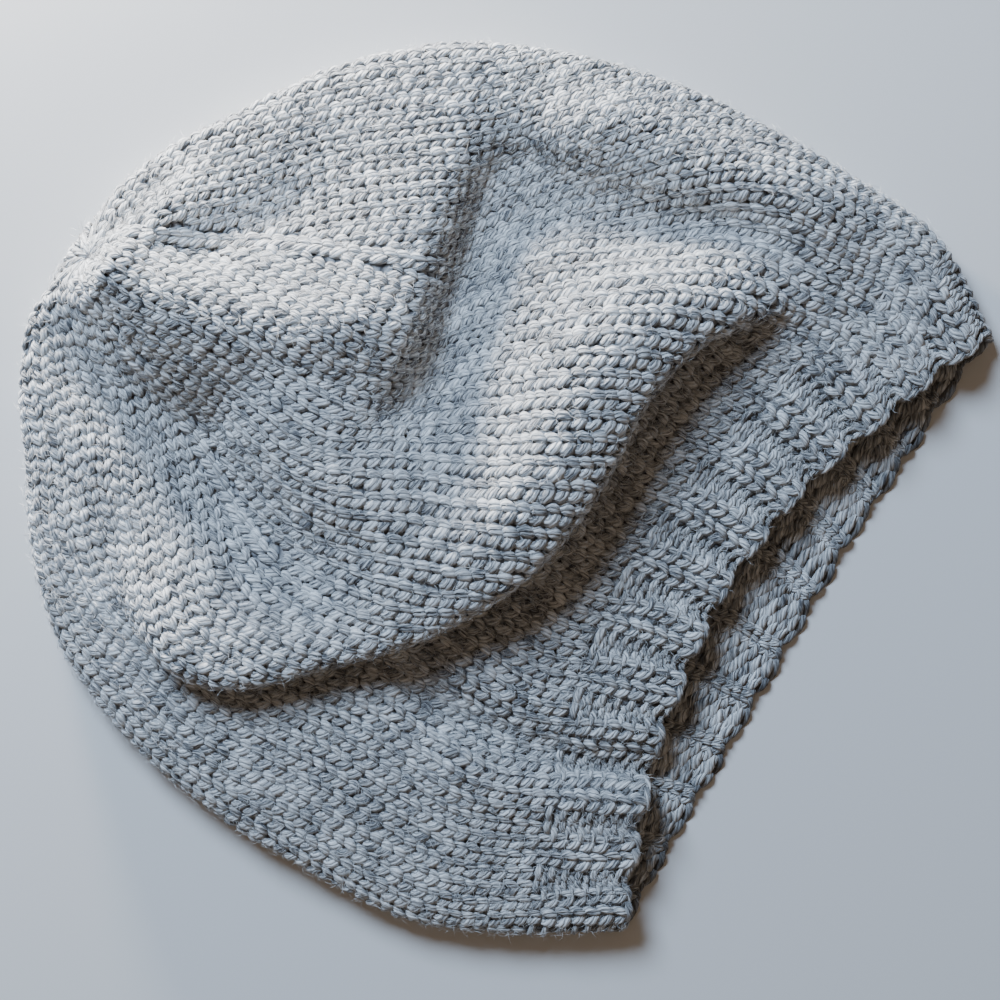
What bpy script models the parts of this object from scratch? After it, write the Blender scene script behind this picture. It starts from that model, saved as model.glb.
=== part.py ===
"""A slouchy knitted beanie lying on its side, with its upper layer fallen into folds.

The hat lies along Y: the mouth faces -Y, the drawn-up tip is near +Y, and the floor is z = 0.
The knitted wall is one surface, a bag pressed flat. It is cut at the top of the ribbing into two
solids, brim and crown. The bag is worked out from a table of sections and a table of folds.
"""

from collections import namedtuple
from math import pi

import bmesh
import bpy
import numpy as np
from mathutils import Vector

# Sizes of the hat, in metres
HALF_WIDTH = 0.130
LENGTH = 0.249
WALL = 0.0032
LOFT = 0.0144
BRIM_DEPTH = 0.026
JOINT_GAP = 0.0003

# How far in from a side edge the upper layer and the one on the floor take to turn, in metres
TOP_TURN = 0.0041
UNDER_TURN = 0.012

# The ribbing: how many ribs, how deep the grooves between them are in metres, and the share of the
# brim over which the grooves run out at its top
RIBS = 24
RIB_DEPTH = 0.0013
RIB_FADE = 0.25

# The folds, in metres: the main fold's height, the reach that the table's widths are shares of, the
# least gap under a valley, and how far off a path's bends are rounded
FOLD_HEIGHT = 0.014
FOLD_REACH = 0.050
LAYER_GAP = 0.0035
PATH_BLEND = 0.012

# Powers and shares that shape the bag: how square its sections' ends are in plan, and how far
# round from a side edge the folds have their full height
PLAN_POWER = 1.8
FOLD_ONSET = 0.30

# How finely the solids are cut up
COLUMNS_PER_RIB = 5
BRIM_ROWS = 4
CROWN_COLUMNS = 78
CROWN_ROWS = 31
LAST_RING = 0.985
KNOT_START = 0.92
SHARP_ANGLE = 0.9
FOLDED_FROM = 0.20
FOLDED_TO = 0.70
FOLDED_ROWS = 0.66
UNDER_DENSITY = 0.16
EDGE_DENSITY = 1.5
EDGE_SPREAD = 0.30
SPREAD_STATION = 0.30
PATH_POINTS = 90
RING_POINTS = 721
NORMAL_STEP = 1e-4

# One row for each section across the bag, from the mouth (station 0) to the tip (station 1).
# The x columns are shares of HALF_WIDTH and the y columns shares of LENGTH. The z columns are
# shares of LOFT above the layer that lies on the floor.
Section = namedtuple(
    "Section",
    "station right_x right_y left_x left_y middle_x top_y under_y side_z top_z under_z",
)
SECTIONS = [
    Section(0.00, 0.850, -0.024, -0.771, 0.002, 0.00, 0.104, 0.000, 0.41, 0.83, 0.00),
    Section(0.10, 0.977, 0.088, -0.890, 0.110, 0.00, 0.180, 0.085, 0.41, 0.86, 0.00),
    Section(0.20, 1.000, 0.215, -0.985, 0.230, 0.00, 0.265, 0.180, 0.41, 0.93, 0.00),
    Section(0.30, 1.000, 0.345, -1.002, 0.360, 0.00, 0.350, 0.280, 0.41, 0.97, 0.00),
    Section(0.40, 0.975, 0.470, -0.998, 0.490, 0.00, 0.440, 0.385, 0.41, 1.00, 0.00),
    Section(0.50, 0.910, 0.595, -0.955, 0.620, 0.00, 0.530, 0.495, 0.41, 1.00, 0.00),
    Section(0.60, 0.800, 0.715, -0.855, 0.745, 0.00, 0.620, 0.610, 0.41, 1.00, 0.00),
    Section(0.70, 0.620, 0.820, -0.690, 0.840, 0.00, 0.710, 0.730, 0.41, 0.97, 0.00),
    Section(0.80, 0.410, 0.897, -0.480, 0.916, -0.01, 0.800, 0.850, 0.41, 0.93, 0.00),
    Section(0.90, 0.240, 0.950, -0.340, 0.962, -0.02, 0.880, 0.945, 0.45, 0.90, 0.02),
    Section(0.95, 0.120, 0.972, -0.210, 0.985, -0.03, 0.930, 0.988, 0.51, 0.86, 0.14),
    Section(1.00, -0.038, 0.965, -0.038, 0.965, -0.038, 0.965, 0.965, 0.68, 0.68, 0.68),
]

# One row for each fold of the upper layer. A path runs along the crest, or along the bottom of a
# valley, as (x, y) shares of HALF_WIDTH and LENGTH. The rise is a share of FOLD_HEIGHT, below 0
# for a valley. The other columns are shares of FOLD_REACH: how wide the slope is to the right and
# to the left of the path, how far the crest leans out to the right, and how far the fold takes to
# grow from its first point and to die away at its last.
Fold = namedtuple("Fold", "name rise right left lean grow fade path")
FOLDS = [
    Fold("swell under the upper sheet", 0.50, 1.00, 1.20, 0.00, 0.80, 0.80,
         [(-0.36, 0.53), (-0.10, 0.46), (0.28, 0.40), (0.65, 0.33)]),
    Fold("main fold", 0.93, 0.42, 0.84, 0.31, 0.90, 1.10,
         [(-0.62, 0.79), (-0.69, 0.70), (-0.71, 0.59), (-0.55, 0.48), (-0.36, 0.39),
          (-0.14, 0.33), (0.10, 0.31), (0.33, 0.31), (0.51, 0.28), (0.62, 0.21),
          (0.68, 0.10)]),
    Fold("valley from the tip", -0.66, 0.46, 0.46, 0.00, 0.20, 0.60,
         [(-0.11, 0.96), (-0.23, 0.87), (-0.29, 0.77), (-0.33, 0.66), (-0.36, 0.55),
          (-0.39, 0.43)]),
    Fold("second fold", 1.26, 0.74, 1.00, 0.03, 0.24, 1.30,
         [(-0.02, 0.96), (-0.05, 0.89), (-0.05, 0.82), (-0.02, 0.75), (-0.02, 0.69),
          (-0.12, 0.64), (-0.23, 0.56), (-0.29, 0.45), (-0.26, 0.35)]),
    Fold("ridge from the tip", 0.36, 0.36, 0.28, 0.00, 0.24, 0.52,
         [(-0.02, 0.96), (-0.02, 0.88), (0.00, 0.79), (0.06, 0.70), (0.18, 0.60)]),
    Fold("cross ridge", 0.60, 0.36, 0.80, 0.06, 0.52, 1.00,
         [(-0.00, 0.57), (0.39, 0.62), (0.77, 0.68)]),
    Fold("groove beside the cross ridge", -0.48, 0.52, 0.26, 0.00, 0.44, 0.60,
         [(-0.15, 0.56), (0.05, 0.54), (0.40, 0.57), (0.75, 0.61)]),
    Fold("groove behind the tip", -0.36, 0.26, 0.34, 0.00, 0.24, 0.50,
         [(-0.01, 0.92), (0.08, 0.86), (0.37, 0.74)]),
    Fold("roll above the main fold", 0.60, 0.64, 0.44, 0.00, 1.00, 0.60,
         [(-0.33, 0.44), (-0.14, 0.38), (0.13, 0.37), (0.39, 0.37), (0.61, 0.31),
          (0.74, 0.20)]),
    Fold("valley along the right side", -0.70, 0.52, 0.36, 0.00, 0.36, 0.80,
         [(0.61, 0.62), (0.65, 0.42), (0.74, 0.27), (0.75, 0.16)]),
    Fold("rim along the right side", 0.50, 0.38, 0.30, 0.00, 0.60, 0.80,
         [(0.77, 0.61), (0.86, 0.40), (0.89, 0.24), (0.87, 0.12)]),
    Fold("crease down to the brim", -0.38, 0.20, 0.24, 0.00, 0.40, 0.16,
         [(-0.50, 0.42), (-0.52, 0.29), (-0.48, 0.15), (-0.36, 0.03)]),
    Fold("low ridge beside the crease", 0.20, 0.32, 0.24, 0.00, 0.32, 0.16,
         [(-0.61, 0.33), (-0.62, 0.22), (-0.54, 0.10), (-0.44, 0.02)]),
]

# Colour, roughness and metallic value of the wool, ribbed and plain
RIBBED_WOOL = (0.50, 0.52, 0.54, 1.0)
PLAIN_WOOL = (0.55, 0.57, 0.58, 1.0)
WOOL_ROUGHNESS = 0.95


def smooth_step(share):
    """Rises from 0 to 1 with level ends."""
    share = np.clip(share, 0.0, 1.0)
    return share * share * (3.0 - 2.0 * share)


def smooth_curve(knots, values, where):
    """The smooth curve through values at knots, read at where."""
    knots = np.asarray(knots, float)
    values = np.asarray(values, float)
    spans = np.diff(knots)
    slopes = np.diff(values) / spans
    bends = np.empty_like(values)
    bends[1:-1] = (slopes[:-1] * spans[1:] + slopes[1:] * spans[:-1]) / (spans[:-1] + spans[1:])
    bends[0] = slopes[0]
    bends[-1] = slopes[-1]
    k = np.clip(np.searchsorted(knots, where, side="right") - 1, 0, len(knots) - 2)
    u = (where - knots[k]) / spans[k]
    v = 1.0 - u
    ends = (1.0 + 2.0 * u) * v * v * values[k] + (1.0 + 2.0 * v) * u * u * values[k + 1]
    return ends + u * v * spans[k] * (v * bends[k] - u * bends[k + 1])


def turn_share(reach, half):
    """The sine of the angle at which a section half this wide is the reach in from its edge."""
    inward = 1.0 - np.minimum(reach / np.maximum(half, reach), 1.0)
    return np.sqrt(1.0 - inward**2)


def flat_bag(around, along):
    """The bag before its folds: around is the angle round it, along the share from mouth to tip.

    The angle is 0 at the right edge, pi / 2 in the middle of the upper layer, pi at the left edge
    and 3 pi / 2 in the middle of the layer on the floor.
    """
    table = np.array(SECTIONS)
    columns = {
        name: smooth_curve(table[:, 0], table[:, k], along)
        for k, name in enumerate(Section._fields)
    }
    sideways = np.cos(around)
    upward = np.sin(around)
    side_x = np.where(sideways >= 0.0, columns["right_x"], columns["left_x"])
    side_y = np.where(sideways >= 0.0, columns["right_y"], columns["left_y"])
    middle_y = np.where(upward >= 0.0, columns["top_y"], columns["under_y"])
    out = np.abs(sideways)
    half = np.abs(side_x - columns["middle_x"]) * HALF_WIDTH
    x = columns["middle_x"] + (side_x - columns["middle_x"]) * out
    y = middle_y + (side_y - middle_y) * out**PLAN_POWER
    over = 1.0 - np.exp(-np.clip(upward, 0.0, 1.0) / turn_share(TOP_TURN, half))
    below = 1.0 - (1.0 - np.clip(-upward / turn_share(UNDER_TURN, half), 0.0, 1.0)) ** 3
    floor_z = np.maximum(columns["under_z"], 0.0)
    rise = np.where(
        upward >= 0.0,
        columns["side_z"] + (columns["top_z"] - columns["side_z"]) * over,
        columns["side_z"] + (floor_z - columns["side_z"]) * below,
    )
    return np.stack([x * HALF_WIDTH, y * LENGTH, rise * LOFT + WALL / 2.0], -1)


def fold_path(fold):
    """Points along a fold's path, their directions, the normals to its right and their distances."""
    knots = np.array(fold.path) * (HALF_WIDTH, LENGTH)
    reach = np.concatenate([[0.0], np.cumsum(np.hypot(*np.diff(knots, axis=0).T))])
    where = np.linspace(0.0, reach[-1], PATH_POINTS)
    points = np.stack([smooth_curve(reach, knots[:, k], where) for k in (0, 1)], -1)
    forward = np.gradient(points, axis=0)
    forward /= np.linalg.norm(forward, axis=1)[:, None]
    right = np.stack([forward[:, 1], -forward[:, 0]], -1)
    steps = np.hypot(*np.diff(points, axis=0).T)
    return points, forward, right, np.concatenate([[0.0], np.cumsum(steps)])


def beside_path(points, fold):
    """Where points lie beside a fold's path: across it, ahead along it, and the way to its right.

    Each is the mean over the path's points, weighted by a bell curve of the distance to them.
    """
    path, forward, right, run = fold_path(fold)
    squared = (points**2).sum(1)[:, None] - 2.0 * points @ path.T + (path**2).sum(1)[None]
    weight = np.exp((squared.min(1, keepdims=True) - squared) / PATH_BLEND**2)
    weight /= weight.sum(1, keepdims=True)
    right_way = weight @ right
    across = (points * right_way).sum(1) - weight @ (path * right).sum(1)
    ahead = (points * (weight @ forward)).sum(1) + weight @ (run - (path * forward).sum(1))
    return across, ahead, right_way, run[-1]


def add_fold(points, share, fold):
    """Raises and leans the points by one fold, as much as share says at each."""
    lean = fold.lean * FOLD_REACH
    reach = max(fold.right, fold.left) * FOLD_REACH + lean
    spread = np.array(fold.path) * (HALF_WIDTH, LENGTH)
    flat = points[..., :2]
    inside = (flat > spread.min(0) - reach) & (flat < spread.max(0) + reach)
    near = (share > 0.0) & inside.all(-1)
    across, ahead, lean_way, length = beside_path(flat[near], fold)
    lean_way /= np.linalg.norm(lean_way, axis=1)[:, None]
    slope = across + lean
    width = np.where(slope >= 0.0, fold.right, fold.left) * FOLD_REACH
    shape = np.cos(pi / 2.0 * np.clip(np.abs(slope) / width, 0.0, 1.0)) ** 2
    ends = smooth_step(ahead / (fold.grow * FOLD_REACH))
    ends = ends * smooth_step((length - ahead) / (fold.fade * FOLD_REACH))
    amount = shape * ends * share[near]
    folded = points.copy()
    folded[near, 2] += fold.rise * FOLD_HEIGHT * amount
    folded[near, :2] += lean * amount[:, None] * lean_way
    return folded


def hat_surface(around, along):
    """Points in the middle of the knitted wall.

    A valley that would sink into the layer on the floor comes to rest LAYER_GAP above it.
    """
    around, along = np.broadcast_arrays(around, along)
    flat = flat_bag(around, along)
    points = flat
    share = smooth_step(np.sin(around) / FOLD_ONSET)
    for fold in FOLDS:
        points = add_fold(points, share, fold)
    rest = np.minimum(flat[..., 2], 1.5 * WALL + LAYER_GAP)
    soft = LAYER_GAP / 2.5
    lifted = rest + soft * np.logaddexp(0.0, (points[..., 2] - rest) / soft)
    points[..., 2] += share * (lifted - points[..., 2])
    return points


def outward_normal(around, along):
    """Unit normals of the surface, by small steps along it."""
    round_way = hat_surface(around + NORMAL_STEP, along) - hat_surface(around - NORMAL_STEP, along)
    tip_way = hat_surface(around, along + NORMAL_STEP) - hat_surface(around, along - NORMAL_STEP)
    normal = np.cross(tip_way, round_way)
    return normal / np.linalg.norm(normal, axis=-1)[..., None]


def spread_angles(along, count, density):
    """Angles round the bag at one section, spaced by distance along it over the density."""
    angles = np.linspace(0.0, 2.0 * pi, RING_POINTS)
    ring = hat_surface(angles, np.full(RING_POINTS, along))
    steps = np.linalg.norm(np.diff(ring, axis=0), axis=1) * density(angles[:-1])
    run = np.concatenate([[0.0], np.cumsum(steps)])
    return np.interp(np.arange(count) / count * run[-1], run, angles)


def crown_density(angles):
    """Columns are widest apart on the layer that lies flat and closest where the edges turn."""
    upward = np.sin(angles)
    layer = np.where(upward >= 0.0, 1.0, UNDER_DENSITY)
    return layer + EDGE_DENSITY * np.exp(-((upward / EDGE_SPREAD) ** 2))


def crown_stations(start):
    """Stations of the crown's rings, closest together where the folds are."""
    shares = np.linspace(0.0, 1.0, CROWN_ROWS)
    before = (1.0 - FOLDED_ROWS) * (FOLDED_FROM - start) / (FOLDED_FROM - start + LAST_RING - FOLDED_TO)
    knots = (0.0, before, before + FOLDED_ROWS, 1.0)
    return np.interp(shares, knots, (start, FOLDED_FROM, FOLDED_TO, LAST_RING))


def wool(name, colour):
    """A matt wool material."""
    material = bpy.data.materials.new(name)
    material.use_nodes = True
    shader = material.node_tree.nodes["Principled BSDF"]
    shader.inputs["Base Color"].default_value = colour
    shader.inputs["Roughness"].default_value = WOOL_ROUGHNESS
    shader.inputs["Metallic"].default_value = 0.0
    return material


def wall_sides(angles, stations, grooves):
    """Rings of points on the outer and on the inner side of the wall, grooves pressed in."""
    outer = []
    inner = []
    for station, groove in zip(stations, grooves):
        along = np.full(len(angles), station)
        normal = outward_normal(angles, along)
        middle = hat_surface(angles, along) - np.reshape(groove, (-1, 1)) * normal
        outer.append(middle + WALL / 2.0 * normal)
        inner.append(middle - WALL / 2.0 * normal)
    return outer, inner


def loft(name, rings, ends, material, collection):
    """One closed body through the rings, shut by a point at each end, or with no ends a loop."""
    shape = bmesh.new()
    rows = [[shape.verts.new(Vector(point)) for point in ring] for ring in rings]
    following = rows[1:] if ends else rows[1:] + rows[:1]
    count = len(rows[0])
    for lower, upper in zip(rows, following):
        for k in range(count):
            after = (k + 1) % count
            shape.faces.new((lower[k], lower[after], upper[after], upper[k]))
    for row, point in zip((rows[0], rows[-1]), ends):
        end = shape.verts.new(Vector(point))
        for k in range(count):
            shape.faces.new((row[k], row[(k + 1) % count], end))
    bmesh.ops.triangulate(shape, faces=shape.faces, quad_method="SHORT_EDGE")
    bmesh.ops.recalc_face_normals(shape, faces=shape.faces)
    mesh = bpy.data.meshes.new(name)
    shape.to_mesh(mesh)
    shape.free()
    mesh.materials.append(material)
    mesh.shade_smooth()
    mesh.set_sharp_from_angle(angle=SHARP_ANGLE)
    body = bpy.data.objects.new(name, mesh)
    collection.objects.link(body)
    return body


def brim(collection):
    """The ribbing: ribs stand at the wall's own line and the grooves between them are pressed in."""
    top = (BRIM_DEPTH - JOINT_GAP / 2.0) / LENGTH
    count = RIBS * COLUMNS_PER_RIB
    angles = spread_angles(top / 2.0, count, np.ones_like)
    turn = np.arange(count) / COLUMNS_PER_RIB
    groove = RIB_DEPTH * (0.5 - 0.5 * np.cos(2.0 * pi * turn))
    stations = np.linspace(0.0, top, BRIM_ROWS + 1)
    depths = np.minimum(1.0, (top - stations) / (RIB_FADE * top))
    outer, inner = wall_sides(angles, stations, depths[:, None] * groove)
    return loft("brim", outer + inner[::-1], (), wool("ribbed wool", RIBBED_WOOL), collection)


def crown(collection):
    """The plain knitted bag above the ribbing, drawn together at the tip into a solid knot."""
    start = (BRIM_DEPTH + JOINT_GAP / 2.0) / LENGTH
    angles = spread_angles(SPREAD_STATION, CROWN_COLUMNS, crown_density)
    stations = crown_stations(start)
    outer, inner = wall_sides(angles, stations, np.zeros(CROWN_ROWS))
    inner = [ring for ring, station in zip(inner, stations) if station < KNOT_START]
    tip = hat_surface(np.array([pi / 2.0]), np.array([1.0]))[0] + (0.0, 0.0, WALL / 2.0)
    hollow_end = inner[-1].mean(0)
    rings = inner[::-1] + outer
    return loft("crown", rings, (hollow_end, tip), wool("plain wool", PLAIN_WOOL), collection)


def centre_on_floor(shells):
    """Moves the hat so that the middle of its box is over the origin and it rests on z = 0."""
    bpy.context.view_layer.update()
    corners = []
    for shell in shells:
        corners.extend(Vector(corner) for corner in shell.bound_box)
    low = Vector(min(corner[k] for corner in corners) for k in range(3))
    high = Vector(max(corner[k] for corner in corners) for k in range(3))
    shift = Vector((-(low.x + high.x) / 2.0, -(low.y + high.y) / 2.0, -low.z))
    for shell in shells:
        for vertex in shell.data.vertices:
            vertex.co += shift


for old in list(bpy.data.objects):
    bpy.data.objects.remove(old, do_unlink=True)
beanie = bpy.data.collections.new("beanie")
bpy.context.scene.collection.children.link(beanie)
centre_on_floor([brim(beanie), crown(beanie)])
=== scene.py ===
from collections import namedtuple
from math import pi, radians

import bpy
import numpy as np
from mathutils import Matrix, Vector


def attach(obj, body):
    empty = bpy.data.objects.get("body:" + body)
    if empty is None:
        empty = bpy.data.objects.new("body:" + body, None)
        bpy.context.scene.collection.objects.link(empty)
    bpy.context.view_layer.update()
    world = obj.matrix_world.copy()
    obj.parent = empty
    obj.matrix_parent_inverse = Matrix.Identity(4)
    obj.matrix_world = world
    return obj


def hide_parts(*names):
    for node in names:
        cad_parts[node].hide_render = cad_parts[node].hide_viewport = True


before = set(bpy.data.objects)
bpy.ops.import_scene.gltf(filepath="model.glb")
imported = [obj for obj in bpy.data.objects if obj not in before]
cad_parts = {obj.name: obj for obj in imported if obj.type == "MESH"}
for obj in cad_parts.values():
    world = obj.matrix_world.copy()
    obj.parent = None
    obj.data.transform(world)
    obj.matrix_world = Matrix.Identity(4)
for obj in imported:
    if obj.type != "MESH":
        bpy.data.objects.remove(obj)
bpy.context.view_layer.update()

# The ground of the cloth: the thin layer of yarn behind the stitches, which is also the purl side
# that shows inside the hat. One knitted bag of plied worsted wool, pressed flat and fallen into
# folds, worked out as one surface that every stitch below is laid on.
HALF_WIDTH = 0.130
LENGTH = 0.249
WALL = 0.0032
LOFT = 0.0144
TOP_TURN = 0.0041
UNDER_TURN = 0.012
FOLD_HEIGHT = 0.014
FOLD_REACH = 0.050
LAYER_GAP = 0.0035
PATH_BLEND = 0.012
PLAN_POWER = 1.8
FOLD_ONSET = 0.30
PATH_POINTS = 90
NORMAL_STEP = 1e-4

# Moves the hat so that the middle of its box stands over the origin
OVER_ORIGIN = (0.00004, -0.12013, 0.0)

# One row for each section across the bag, from the mouth (station 0) to the tip (station 1).
# The x columns are shares of HALF_WIDTH and the y columns shares of LENGTH. The z columns are
# shares of LOFT above the layer that lies on the floor.
Section = namedtuple(
    "Section",
    "station right_x right_y left_x left_y middle_x top_y under_y side_z top_z under_z",
)
SECTIONS = [
    Section(0.00, 0.850, -0.024, -0.771, 0.002, 0.00, 0.104, 0.000, 0.41, 0.83, 0.00),
    Section(0.10, 0.977, 0.088, -0.890, 0.110, 0.00, 0.180, 0.085, 0.41, 0.86, 0.00),
    Section(0.20, 1.000, 0.215, -0.985, 0.230, 0.00, 0.265, 0.180, 0.41, 0.93, 0.00),
    Section(0.30, 1.000, 0.345, -1.002, 0.360, 0.00, 0.350, 0.280, 0.41, 0.97, 0.00),
    Section(0.40, 0.975, 0.470, -0.998, 0.490, 0.00, 0.440, 0.385, 0.41, 1.00, 0.00),
    Section(0.50, 0.910, 0.595, -0.955, 0.620, 0.00, 0.530, 0.495, 0.41, 1.00, 0.00),
    Section(0.60, 0.800, 0.715, -0.855, 0.745, 0.00, 0.620, 0.610, 0.41, 1.00, 0.00),
    Section(0.70, 0.620, 0.820, -0.690, 0.840, 0.00, 0.710, 0.730, 0.41, 0.97, 0.00),
    Section(0.80, 0.410, 0.897, -0.480, 0.916, -0.01, 0.800, 0.850, 0.41, 0.93, 0.00),
    Section(0.90, 0.240, 0.950, -0.340, 0.962, -0.02, 0.880, 0.945, 0.45, 0.90, 0.02),
    Section(0.95, 0.120, 0.972, -0.210, 0.985, -0.03, 0.930, 0.988, 0.51, 0.86, 0.14),
    Section(1.00, -0.038, 0.965, -0.038, 0.965, -0.038, 0.965, 0.965, 0.68, 0.68, 0.68),
]

# One row for each fold of the upper layer. A path runs along the crest, or along the bottom of a
# valley, as (x, y) shares of HALF_WIDTH and LENGTH. The rise is a share of FOLD_HEIGHT, below 0
# for a valley. The other columns are shares of FOLD_REACH: how wide the slope is to the right and
# to the left of the path, how far the crest leans out to the right, and how far the fold takes to
# grow from its first point and to die away at its last.
Fold = namedtuple("Fold", "name rise right left lean grow fade path")
FOLDS = [
    Fold("swell under the upper sheet", 0.50, 1.00, 1.20, 0.00, 0.80, 0.80,
         [(-0.36, 0.53), (-0.10, 0.46), (0.28, 0.40), (0.65, 0.33)]),
    Fold("main fold", 0.93, 0.42, 0.84, 0.31, 0.90, 1.10,
         [(-0.62, 0.79), (-0.69, 0.70), (-0.71, 0.59), (-0.55, 0.48), (-0.36, 0.39),
          (-0.14, 0.33), (0.10, 0.31), (0.33, 0.31), (0.51, 0.28), (0.62, 0.21),
          (0.68, 0.10)]),
    Fold("valley from the tip", -0.66, 0.46, 0.46, 0.00, 0.20, 0.60,
         [(-0.11, 0.96), (-0.23, 0.87), (-0.29, 0.77), (-0.33, 0.66), (-0.36, 0.55),
          (-0.39, 0.43)]),
    Fold("second fold", 1.26, 0.74, 1.00, 0.03, 0.24, 1.30,
         [(-0.02, 0.96), (-0.05, 0.89), (-0.05, 0.82), (-0.02, 0.75), (-0.02, 0.69),
          (-0.12, 0.64), (-0.23, 0.56), (-0.29, 0.45), (-0.26, 0.35)]),
    Fold("ridge from the tip", 0.36, 0.36, 0.28, 0.00, 0.24, 0.52,
         [(-0.02, 0.96), (-0.02, 0.88), (0.00, 0.79), (0.06, 0.70), (0.18, 0.60)]),
    Fold("cross ridge", 0.60, 0.36, 0.80, 0.06, 0.52, 1.00,
         [(-0.00, 0.57), (0.39, 0.62), (0.77, 0.68)]),
    Fold("groove beside the cross ridge", -0.48, 0.52, 0.26, 0.00, 0.44, 0.60,
         [(-0.15, 0.56), (0.05, 0.54), (0.40, 0.57), (0.75, 0.61)]),
    Fold("groove behind the tip", -0.36, 0.26, 0.34, 0.00, 0.24, 0.50,
         [(-0.01, 0.92), (0.08, 0.86), (0.37, 0.74)]),
    Fold("roll above the main fold", 0.60, 0.64, 0.44, 0.00, 1.00, 0.60,
         [(-0.33, 0.44), (-0.14, 0.38), (0.13, 0.37), (0.39, 0.37), (0.61, 0.31),
          (0.74, 0.20)]),
    Fold("valley along the right side", -0.70, 0.52, 0.36, 0.00, 0.36, 0.80,
         [(0.61, 0.62), (0.65, 0.42), (0.74, 0.27), (0.75, 0.16)]),
    Fold("rim along the right side", 0.50, 0.38, 0.30, 0.00, 0.60, 0.80,
         [(0.77, 0.61), (0.86, 0.40), (0.89, 0.24), (0.87, 0.12)]),
    Fold("crease down to the brim", -0.38, 0.20, 0.24, 0.00, 0.40, 0.16,
         [(-0.50, 0.42), (-0.52, 0.29), (-0.48, 0.15), (-0.36, 0.03)]),
    Fold("low ridge beside the crease", 0.20, 0.32, 0.24, 0.00, 0.32, 0.16,
         [(-0.61, 0.33), (-0.62, 0.22), (-0.54, 0.10), (-0.44, 0.02)]),
]


def smooth_step(share):
    """Rises from 0 to 1 with level ends."""
    share = np.clip(share, 0.0, 1.0)
    return share * share * (3.0 - 2.0 * share)


def smooth_curve(knots, values, where):
    """The smooth curve through values at knots, read at where."""
    knots = np.asarray(knots, float)
    values = np.asarray(values, float)
    spans = np.diff(knots)
    slopes = np.diff(values) / spans
    bends = np.empty_like(values)
    bends[1:-1] = (slopes[:-1] * spans[1:] + slopes[1:] * spans[:-1]) / (spans[:-1] + spans[1:])
    bends[0] = slopes[0]
    bends[-1] = slopes[-1]
    k = np.clip(np.searchsorted(knots, where, side="right") - 1, 0, len(knots) - 2)
    u = (where - knots[k]) / spans[k]
    v = 1.0 - u
    ends = (1.0 + 2.0 * u) * v * v * values[k] + (1.0 + 2.0 * v) * u * u * values[k + 1]
    return ends + u * v * spans[k] * (v * bends[k] - u * bends[k + 1])


def turn_share(reach, half):
    """The sine of the angle at which a section half this wide is the reach in from its edge."""
    inward = 1.0 - np.minimum(reach / np.maximum(half, reach), 1.0)
    return np.sqrt(1.0 - inward**2)


def flat_bag(around, along):
    """The bag before its folds: around is the angle round it, along the share from mouth to tip.

    The angle is 0 at the right edge, pi / 2 in the middle of the upper layer, pi at the left edge
    and 3 pi / 2 in the middle of the layer on the floor.
    """
    table = np.array(SECTIONS)
    columns = {
        name: smooth_curve(table[:, 0], table[:, k], along)
        for k, name in enumerate(Section._fields)
    }
    sideways = np.cos(around)
    upward = np.sin(around)
    side_x = np.where(sideways >= 0.0, columns["right_x"], columns["left_x"])
    side_y = np.where(sideways >= 0.0, columns["right_y"], columns["left_y"])
    middle_y = np.where(upward >= 0.0, columns["top_y"], columns["under_y"])
    out = np.abs(sideways)
    half = np.abs(side_x - columns["middle_x"]) * HALF_WIDTH
    x = columns["middle_x"] + (side_x - columns["middle_x"]) * out
    y = middle_y + (side_y - middle_y) * out**PLAN_POWER
    over = 1.0 - np.exp(-np.clip(upward, 0.0, 1.0) / turn_share(TOP_TURN, half))
    below = 1.0 - (1.0 - np.clip(-upward / turn_share(UNDER_TURN, half), 0.0, 1.0)) ** 3
    floor_z = np.maximum(columns["under_z"], 0.0)
    rise = np.where(
        upward >= 0.0,
        columns["side_z"] + (columns["top_z"] - columns["side_z"]) * over,
        columns["side_z"] + (floor_z - columns["side_z"]) * below,
    )
    return np.stack([x * HALF_WIDTH, y * LENGTH, rise * LOFT + WALL / 2.0], -1)


def fold_path(fold):
    """Points along a fold's path, their directions, the normals to its right and their distances."""
    knots = np.array(fold.path) * (HALF_WIDTH, LENGTH)
    reach = np.concatenate([[0.0], np.cumsum(np.hypot(*np.diff(knots, axis=0).T))])
    where = np.linspace(0.0, reach[-1], PATH_POINTS)
    points = np.stack([smooth_curve(reach, knots[:, k], where) for k in (0, 1)], -1)
    forward = np.gradient(points, axis=0)
    forward /= np.linalg.norm(forward, axis=1)[:, None]
    right = np.stack([forward[:, 1], -forward[:, 0]], -1)
    steps = np.hypot(*np.diff(points, axis=0).T)
    return points, forward, right, np.concatenate([[0.0], np.cumsum(steps)])


def beside_path(points, fold):
    """Where points lie beside a fold's path: across it, ahead along it, and the way to its right.

    Each is the mean over the path's points, weighted by a bell curve of the distance to them.
    """
    path, forward, right, run = fold_path(fold)
    squared = (points**2).sum(1)[:, None] - 2.0 * points @ path.T + (path**2).sum(1)[None]
    weight = np.exp((squared.min(1, keepdims=True) - squared) / PATH_BLEND**2)
    weight /= weight.sum(1, keepdims=True)
    right_way = weight @ right
    across = (points * right_way).sum(1) - weight @ (path * right).sum(1)
    ahead = (points * (weight @ forward)).sum(1) + weight @ (run - (path * forward).sum(1))
    return across, ahead, right_way, run[-1]


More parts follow.
